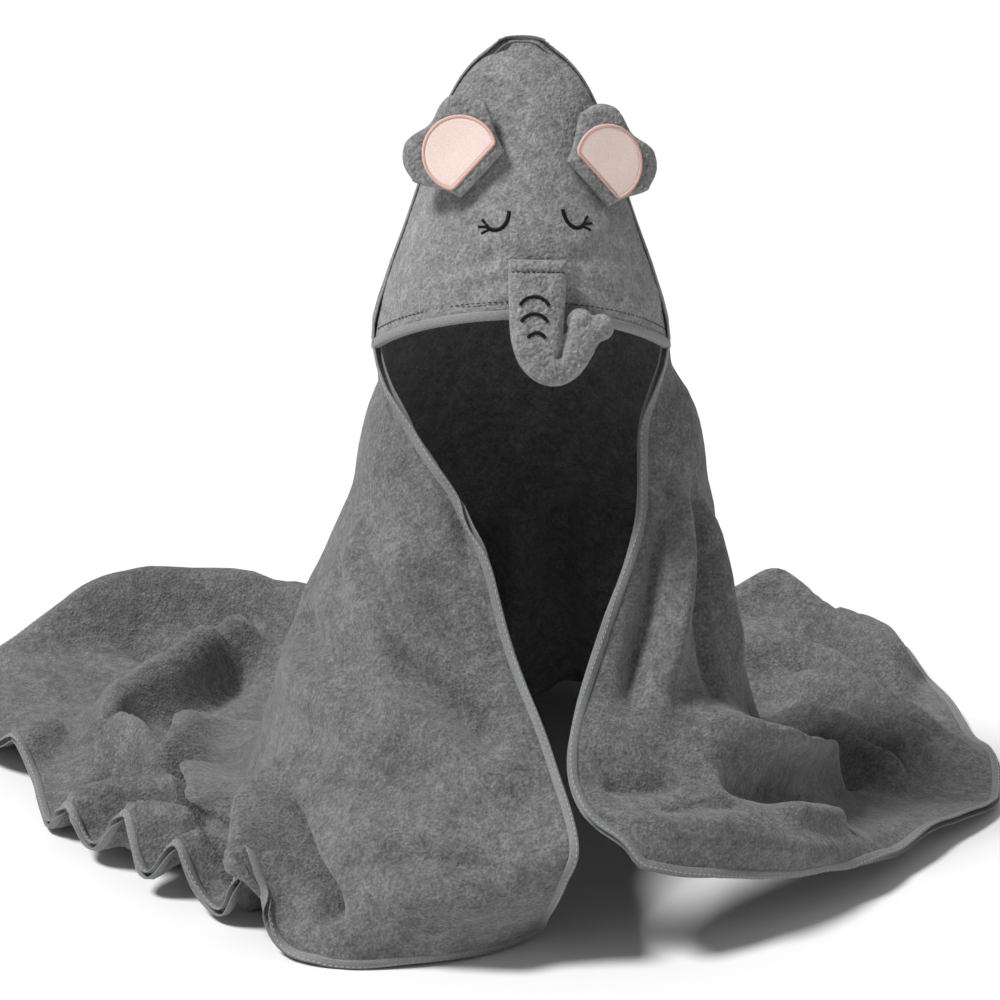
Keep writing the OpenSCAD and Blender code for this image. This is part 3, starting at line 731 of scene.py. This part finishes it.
def makePanel():
    grid = panelSurface(panel["columns"], panel["rows"])
    normals = gridNormals(grid)
    if normals[80, 90, 1] > 0:
        normals = -normals
    start = hoodAt(*trunkTop)
    x = (grid[..., 0] - start[0]) / mm
    z = (grid[..., 2] - start[2]) / mm
    depth = np.zeros_like(x)
    for (px, pz), (dx, dz), tall, half, length in pulls:
        size = math.hypot(dx, dz)
        run = ((x - px) * dx + (z - pz) * dz) / size
        off = (-(x - px) * dz + (z - pz) * dx) / size
        ease = np.clip(run / 8, 0, 1) * np.clip(1 - run / length, 0, 1)
        depth += tall * mm * ease * np.exp(-(off / half) ** 2)
    grid = grid + depth[..., None] * normals
    normals = gridNormals(grid)
    if normals[80, 90, 1] > 0:
        normals = -normals
    half = sheet["pile"] / 2
    outer = (grid + half * normals).reshape(-1, 3)
    inner = (grid - half * normals).reshape(-1, 3)
    flatNormals = normals.reshape(-1, 3)
    outer = outer + nap(outer, 2.2 * mm, 0.35 * mm, 3.0)[:, None] * flatNormals
    # The hood panel wears the lighter fleece copy, with painted light
    piece = newPiece("hoodPanel", np.concatenate([outer, inner]), shellFaces(*grid.shape[:2]),
                     plushPaintedLit, "towel", "plush_light", "hood_panel")
    brim, brimNormals = grid[-1], normals[-1]
    points, (nors,) = resample(brim, [brimNormals], 3 * mm, False)
    inward, along = inwardOf(points, nors, False)
    if inward[len(inward) // 2][2] < 0:
        inward = -inward
    verts, faces = sweep(points, inward, nors, tapeSection(half), False)
    newPiece("brimBinding", verts, faces, brimTape, "towel", "tape", "brim_binding")
    stitchRow("brimStitching", points, inward, nors, along, binding["width"] + 5 * mm,
              half + 0.25 * mm, darkThread, "towel", "thread_black", "brim_stitching")
    return grid, normals


def frameAt(origin, x, y, z):
    return {"origin": np.array(origin), "axes": np.stack([x, y, z])}


def intoFrame(place, points):
    return place["origin"] + (np.asarray(points) * mm) @ place["axes"]


# Padded pieces, in mm: the grid steps, the gap left at a seam, and the nap's two tuft sizes; and how
# full of wadding the closed shapes are
puff = {"step": 0.6, "patchStep": 0.7, "seamGap": 0.02, "napWide": 2.2, "napFine": 1.1, "fill": 0.4}


def puffGrid(reach, box, step):
    x, y = np.meshgrid(np.arange(box[0], box[1], step), np.arange(box[2], box[3], step))
    j, i = np.where(reach(x[:-1, :-1] + step / 2, y[:-1, :-1] + step / 2) < 0)
    a = j * x.shape[1] + i
    quads = np.stack([a, a + 1, a + x.shape[1] + 1, a + x.shape[1]], 1)
    used, quads = np.unique(quads, return_inverse=True)
    quads = quads.reshape(-1, 4)
    flat = np.stack([x.ravel(), y.ravel()], 1)[used]
    rim = np.bincount(quads.ravel(), minlength=len(flat)) < 4
    edge = flat[rim]
    # The outermost points move onto the outline
    for _ in range(4):
        px, py, e = edge[:, 0], edge[:, 1], 0.05
        slopeX = reach(px + e, py) - reach(px - e, py)
        slopeY = reach(px, py + e) - reach(px, py - e)
        slope = np.stack([slopeX, slopeY], 1) / (2 * e)
        size = np.maximum((slope**2).sum(1), 0.2)
        edge = edge - (reach(px, py) / size)[:, None] * slope
    flat[rim] = edge
    return flat, quads, rim


def puffHalf(name, place, flat, quads, rim, seam, rise, material, body, slot, nodes):
    count = len(flat)
    low = np.arange(count)
    low[~rim] = count + np.arange((~rim).sum())
    high = seam + np.where(rim, 0, rise)
    points = np.concatenate([np.column_stack([flat, high]), np.column_stack([flat, seam])[~rim]])
    under = low[quads]
    if rise[~rim].mean() > 0:
        faces = quads.tolist() + under[:, ::-1].tolist()
    else:
        faces = quads[:, ::-1].tolist() + under.tolist()
    return newPiece(name, intoFrame(place, points), faces, material, body, slot, *nodes)


def puffRise(reach, flat, soft):
    inside = np.clip(-reach(flat[:, 0], flat[:, 1]) / soft, 0, 1)
    return np.sqrt(1 - (1 - inside) ** 2)


def joinSoftly(shapes, soft):
    return -soft * np.log(sum(np.exp(-q / soft) for q in shapes))


def furAt(flat, seed):
    wide, fine = puff["napWide"], puff["napFine"]
    out = [noise.noise(Vector((a / wide, b / wide, seed)))
           + 0.6 * noise.noise(Vector((a / fine, b / fine, seed))) for a, b in flat]
    return np.array(out)


ear = {
    "baseWidth": 41, "lobeRadius": 16.5, "lobeX": 16.5, "lobeY": 33, "patchRadius": 22, "patchY": 19,
    "patchFrom": 8, "thickness": 8.0, "seamSoft": 5.5, "bend": 0.0016, "box": (-40, 40, -1.2, 56),
    "left": {"inner": (17, 472), "outer": (45, 440), "facing": (-0.15, -0.97, 0.2), "side": 1},
    "right": {"inner": (16, 467), "outer": (46, 430), "facing": (0.6, -0.79, 0.1), "side": -1},
}


def earFrame(which):
    e = ear[which]
    side = e["side"]
    inner = hoodAt(faceMiddle + side * e["inner"][0], e["inner"][1])
    outer = hoodAt(faceMiddle + side * e["outer"][0], e["outer"][1])
    x = side * unit(inner - outer)
    y = side * unit(np.cross(e["facing"], inner - outer))
    joint = [j for j in record["behaviour"]["joints"] if j["name"] == "ear_" + which + "_flop"][0]
    return frameAt(joint["pos_m"], x, y, np.cross(x, y))


def earReach(x, y):
    r, lx, ly, half = ear["lobeRadius"], ear["lobeX"], ear["lobeY"], ear["baseWidth"] / 2
    slope = (lx + r * math.cos(math.radians(15)) - half) / (ly - r * math.sin(math.radians(15)))
    circles = [np.hypot(x - s * lx, y - ly) - r for s in (-1, 1)]
    lower = np.maximum((np.abs(x) - half - slope * y) / math.hypot(1, slope), y - ly + 4)
    upper = np.maximum(np.abs(x) - lx, y - ly - 0.75 * r)
    return np.maximum(joinSoftly(circles + [lower, upper], 3.5) + 2.0, -y)


def earTop(x, y):
    hollow = np.exp(-((x / 17) ** 2 + ((y - 26) / 15) ** 2))
    return 1.0 - 0.28 * hollow


def makeEar(which):
    place = earFrame(which)
    body = "ear_" + which
    flat, quads, rim = puffGrid(earReach, ear["box"], puff["step"])
    half = ear["thickness"] / 2
    seam = half - ear["bend"] * flat[:, 0] ** 2          # the ear's sewn base follows the round hood
    rise = puffRise(earReach, flat, ear["seamSoft"])
    fur = furAt(flat, 5.0 if which == "left" else 8.0)
    up = rise * (half * earTop(flat[:, 0], flat[:, 1]) + 0.75 * fur)
    down = rise * (0.6 * fur - half)
    gap = puff["seamGap"]
    # The ear's front wears the lighter fleece copy, with painted light; its back keeps the plain grey
    front = puffHalf(which + "EarFront", place, flat, quads, rim, seam + gap, up, plushPaintedLit, body,
                     "plush_light", [body + "_front", body + "_filling"])
    back = puffHalf(which + "EarBack", place, flat, quads, rim, seam - gap, down, plush, body, "plush",
                    [body + "_back"])
    return place, body


def surfaceZ(x, y):
    half = ear["thickness"] / 2
    return half - ear["bend"] * x**2 + half * earTop(x, y)


def patchReach(x, y):
    return np.maximum(np.hypot(x, y - ear["patchY"]) - ear["patchRadius"], ear["patchFrom"] - y)


def patchOutline(grow):
    r, low = ear["patchRadius"] + grow, ear["patchFrom"] - grow
    end = math.asin((low - ear["patchY"]) / r)
    arc = [(r * math.cos(t), ear["patchY"] + r * math.sin(t)) for t in np.linspace(end, math.pi - end, 90)]
    base = [(q, low) for q in np.linspace(arc[-1][0], arc[0][0], 40)[1:-1]]
    outline = np.array(arc + base)
    for _ in range(4):
        outline = (outline * 2 + np.roll(outline, 1, 0) + np.roll(outline, -1, 0)) / 4
    return outline


def makePatch(which, place, body):
    flat, quads, rim = puffGrid(patchReach, (-24, 24, 6, 43), puff["patchStep"])
    rise = 0.9 * puffRise(patchReach, flat, 1.2) + 0.1
    puffHalf(which + "EarPatch", place, flat, quads, rim, surfaceZ(flat[:, 0], flat[:, 1]) - 0.1, rise,
             pinkCotton, body, "pink_cotton", [body + "_patch"])
    edge = patchOutline(0.4)
    points = np.column_stack([edge, surfaceZ(edge[:, 0], edge[:, 1]) + 0.5])
    normals = np.tile([0.0, 0.0, 1.0], (len(points), 1))
    satinBand(which + "EarPatchStitching", place, points, normals, 2.2, 0.75, 0.5, True, pinkThread, body,
              "thread_pink", body + "_patch_stitching")
    reach = ear["baseWidth"] / 2 - 4
    count = 12
    verts, faces = [], []
    for k in range(count):
        q = -reach + (k + 0.5) * 2 * reach / count
        base = np.array([q, 3.4, float(surfaceZ(q, 3.4)) - 1.0])
        capsule(verts, faces, place, base, (1, 0, 0), (0, 0, 1), 2.0, 0.4)
    newPiece(which + "EarBaseStitching", verts, faces, darkThread, body, "thread_black",
             body + "_base_stitching")


def capsule(verts, faces, place, centre, along, up, length, r):
    along, up = np.array(along, float), np.array(up, float)
    side = np.cross(up, along)
    first = len(verts)
    shape = [(-0.5, 0.35), (-0.3, 1.0), (0.3, 1.0), (0.5, 0.35)]
    local = [centre + along * s * length + fat * r * (math.cos(k * math.pi / 3) * side
             + math.sin(k * math.pi / 3) * up) for s, fat in shape for k in range(6)]
    verts.extend(intoFrame(place, local) if place else local)
    for ring in range(len(shape) - 1):
        q = first + ring * 6
        for k in range(6):
            faces.append([q + k, q + (k + 1) % 6, q + 6 + (k + 1) % 6, q + 6 + k])
    faces.append([first + k for k in range(5, -1, -1)])
    faces.append([first + 18 + k for k in range(6)])


def satinBand(name, place, points, normals, width, height, pitch, loop, material, body, slot, *nodes):
    unitSize = 1.0 if place else mm
    points, (normals,) = resample(points, [normals], pitch * unitSize, loop)
    inward, along = inwardOf(points, normals, loop)
    across = [(-0.5, 0.0), (-0.38, 0.75), (0, 1.0), (0.38, 0.75), (0.5, 0.0)]
    verts, faces = [], []
    for p, t, n, a in zip(points, inward, normals, along):
        first = len(verts)
        for s, up in across:
            centre = p + (s * width * t + up * height * n) * unitSize
            for step, lift in ((-0.56, -0.1), (0, 0.12), (0.56, -0.1)):
                verts.append(centre + (a * step * pitch + n * lift) * unitSize)
            verts.append(p + (s * width * t - 0.3 * n) * unitSize)
        for k in range(len(across) - 1):
            q = first + 4 * k
            for e in range(4):
                f = (e + 1) % 4
                faces.append([q + e, q + f, q + 4 + f, q + 4 + e])
        faces.append([first + 3, first + 2, first + 1, first])
        faces.append([first + 16 + e for e in range(4)])
    verts = intoFrame(place, verts) if place else verts
    return newPiece(name, verts, faces, material, body, slot, *nodes)


eye = {"z": 428, "angle": 22, "arcWidth": 8, "arcHeight": 11, "arcEnd": 310, "line": 2.5, "lash": 1.8,
       "lashRoots": [(5.5, 0.5), (5, -1.5), (3.5, -3.2)],
       "lashTips": [(7.8, 2.4), (9.4, -1.8), (7.0, -5.4)]}


def joinPieces(name, parts, body, slot, *nodes):
    bpy.ops.object.select_all(action="DESELECT")
    for part in parts:
        part.select_set(True)
    bpy.context.view_layer.objects.active = parts[0]
    bpy.ops.object.join()
    whole = parts[0]
    whole.name = name
    whole.data.name = name
    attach(whole, body)
    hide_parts(*nodes)
    return whole


def makeEye(which, side, tree):
    arc = [(eye["arcWidth"] * math.cos(t), 8 + eye["arcHeight"] * math.sin(t))
           for t in np.radians(np.linspace(180, eye["arcEnd"], 30))]
    lines = [arc] + [list(zip(*[np.linspace(r[k], t[k], 8) for k in (0, 1)]))
                     for r, t in zip(eye["lashRoots"], eye["lashTips"])]
    parts = []
    for k, line in enumerate(lines):
        angles = [faceMiddle + side * (eye["angle"] + 0.9 * q[0]) for q in line]
        heights = [eye["z"] + q[1] for q in line]
        points, normals = onPanel(hoodAt(angles, heights), hoodNormal(angles, heights), tree)
        width = eye["line"] if k == 0 else eye["lash"]
        parts.append(satinBand(which + "EyeLine%d" % k, None, points, normals, width, 0.55, 0.42, False,
                               blackThread, "towel", "thread_black"))
    joinPieces(which + "Eye", parts, "towel", "thread_black", "eye_" + which)


def onPanel(points, normals, tree):
    placed, turned = [], []
    for p, n in zip(points, normals):
        hit, _, _, _ = tree.ray_cast(Vector(p + 0.02 * n), Vector(-n))
        placed.append(np.array(hit if hit else p))
        turned.append(n)
    return np.array(placed) + 0.1 * mm * np.array(turned), np.array(turned)


trunk = {"thickness": 10.3, "turn": -3, "hemY": -8, "seamSoft": 8.0, "box": (-20, 50, -80, 1.2),
         "hemDepth": 1.4, "hemHalf": 1.3, "creaseHalf": 2.2, "creaseDepth": 0.7, "tipPuff": 0.25,
         "wrinkles": [(-2.5, 23, 10, 62), (-2.5, 33.5, 9, 62), (-1, 45, 6, 60)]}
# Middle line of the trunk in mm from its sewn top, and half its width there; then the two lobes of its
# tip, and the crease between the straight part and the curl
trunkLine = [(0, 18, 18.3), (0, 0, 18.3), (-0.3, -20, 17.8), (-0.5, -36, 17), (0.2, -48, 16.4),
             (3, -58, 15.2), (9.5, -64, 13.2), (17, -61.5, 12.3), (23, -54, 11.6),
             (27, -48.5, 10.4), (30.5, -45, 9.2)]
trunkLobes = [(26, -37.5, 8.6), (38.8, -40.5, 8.4)]
trunkCrease = [(21, -33), (18.2, -41), (16, -50), (13.2, -59)]


def trunkFrame():
    joint = [j for j in record["behaviour"]["joints"] if j["name"] == "trunk_lift"][0]
    at = hoodAt(*trunkTop)
    normal = hoodNormal(*trunkTop)
    brim = hoodAt(faceMiddle + 1, 371) + 3.95 * mm * hoodNormal(faceMiddle + 1, 371)
    y = unit(at + 2 * mm * normal - brim)
    x = unit(np.cross(y, normal))
    z = np.cross(x, y)
    turn = math.radians(trunk["turn"])
    x, y = x * math.cos(turn) + y * math.sin(turn), y * math.cos(turn) - x * math.sin(turn)
    return frameAt(joint["pos_m"], x, y, z)


def trunkReach(x, y):
    nearest = np.full(np.shape(x), 99.0)
    for cx, cy, r in throughPoints(trunkLine, 90):
        nearest = np.minimum(nearest, np.hypot(x - cx, y - cy) - r)
    lobes = [np.hypot(x - cx, y - cy) - r for cx, cy, r in trunkLobes]
    return np.maximum(joinSoftly(lobes + [nearest], 0.8) + 0.2, y)


def creaseDepth(flat):
    nearest = np.full(len(flat), 99.0)
    for start, end in zip(np.array(trunkCrease[:-1], float), np.array(trunkCrease[1:], float)):
        run = end - start
        t = np.clip((flat - start) @ run / (run @ run), 0, 1)
        nearest = np.minimum(nearest, np.linalg.norm(flat - start - t[:, None] * run, axis=1))
    return np.exp(-(nearest / trunk["creaseHalf"]) ** 2)


def makeTrunk():
    place = trunkFrame()
    flat, quads, rim = puffGrid(trunkReach, trunk["box"], puff["step"])
    half = trunk["thickness"] / 2
    rise = puffRise(trunkReach, flat, trunk["seamSoft"])
    fur = furAt(flat, 1.0)
    hem = trunk["hemDepth"] * np.exp(-((flat[:, 1] - trunk["hemY"]) / trunk["hemHalf"]) ** 2)
    seam = np.full(len(flat), half)
    full = half * (1 + trunk["tipPuff"] * np.clip(-flat[:, 1] / 40, 0, 1))
    up = rise * (full * (1 - trunk["creaseDepth"] * creaseDepth(flat)) - hem + 0.75 * fur)
    gap = puff["seamGap"]
    # The trunk's front wears the lighter fleece copy, with painted light; its back keeps the plain grey
    front = puffHalf("trunkFront", place, flat, quads, rim, seam + gap, up, plushPaintedLit, "trunk",
                     "plush_light", ("trunk_front", "trunk_filling"))
    back = puffHalf("trunkBack", place, flat, quads, rim, seam - gap, rise * (0.5 * fur - half), plush,
                    "trunk", "plush", ("trunk_back",))
    top = np.column_stack([flat, seam + np.where(rim, 0, up)])
    tree = BVHTree.FromPolygons(top.tolist(), quads.tolist())
    parts = []
    for k, (middle, below, r, halfTurn) in enumerate(trunk["wrinkles"]):
        turns = np.radians(np.linspace(90 - halfTurn, 90 + halfTurn, 24))
        line = [drop(tree, middle + r * math.cos(t), -below - r + r * math.sin(t)) for t in turns]
        normals = np.tile([0.0, 0.0, 1.0], (len(line), 1))
        parts.append(satinBand("wrinkle%d" % k, place, np.array(line), normals, 2.3, 0.8, 0.42, False,
                               blackThread, "trunk", "thread_black"))
    joinPieces("trunkWrinkles", parts, "trunk", "thread_black", "trunk_wrinkles")
    verts, faces = [], []
    for x in np.arange(-15, 15.1, 3.0):
        base = drop(tree, x, trunk["hemY"])
        capsule(verts, faces, place, base, (1, 0, 0), (0, 0, 1), 2.2, 0.4)
    newPiece("trunkTopStitching", verts, faces, darkThread, "trunk", "thread_black", "trunk_top_stitching")


def drop(tree, x, y):
    hit, _, _, _ = tree.ray_cast(Vector((x, y, 50)), Vector((0, 0, -1)))
    return np.array(hit if hit else (x, y, trunk["thickness"])) + [0, 0, 0.1]


placeCamera()
placeLights()
bpy.ops.object.select_all(action="DESELECT")
bpy.ops.mesh.primitive_plane_add(size=8, location=(0, 0, 0))
floor = bpy.context.object
floor.name = "floor"
floorMaterial, floorShader = newMaterial("pale studio floor", 0.9, 0.0)
floorShader.inputs["Base Color"].default_value = hexColour("#f4f4f4")
floor.data.materials.append(floorMaterial)
sheetGrid, sheetNormals = makeSheet()
print("towel sheet made")
makeEdgeBinding(sheetGrid, sheetNormals)
print("edge bound")
panelGrid, panelNormals = makePanel()
print("hood panel made")
panelTop = (panelGrid + 0.5 * sheet["pile"] * panelNormals).reshape(-1, 3)
panelTree = BVHTree.FromPolygons(panelTop.tolist(), gridFaces(*panelGrid.shape[:2]))
makeEye("left", 1, panelTree)
makeEye("right", -1, panelTree)
for which in ("left", "right"):
    makePatch(which, *makeEar(which))
makeTrunk()
print("face made")
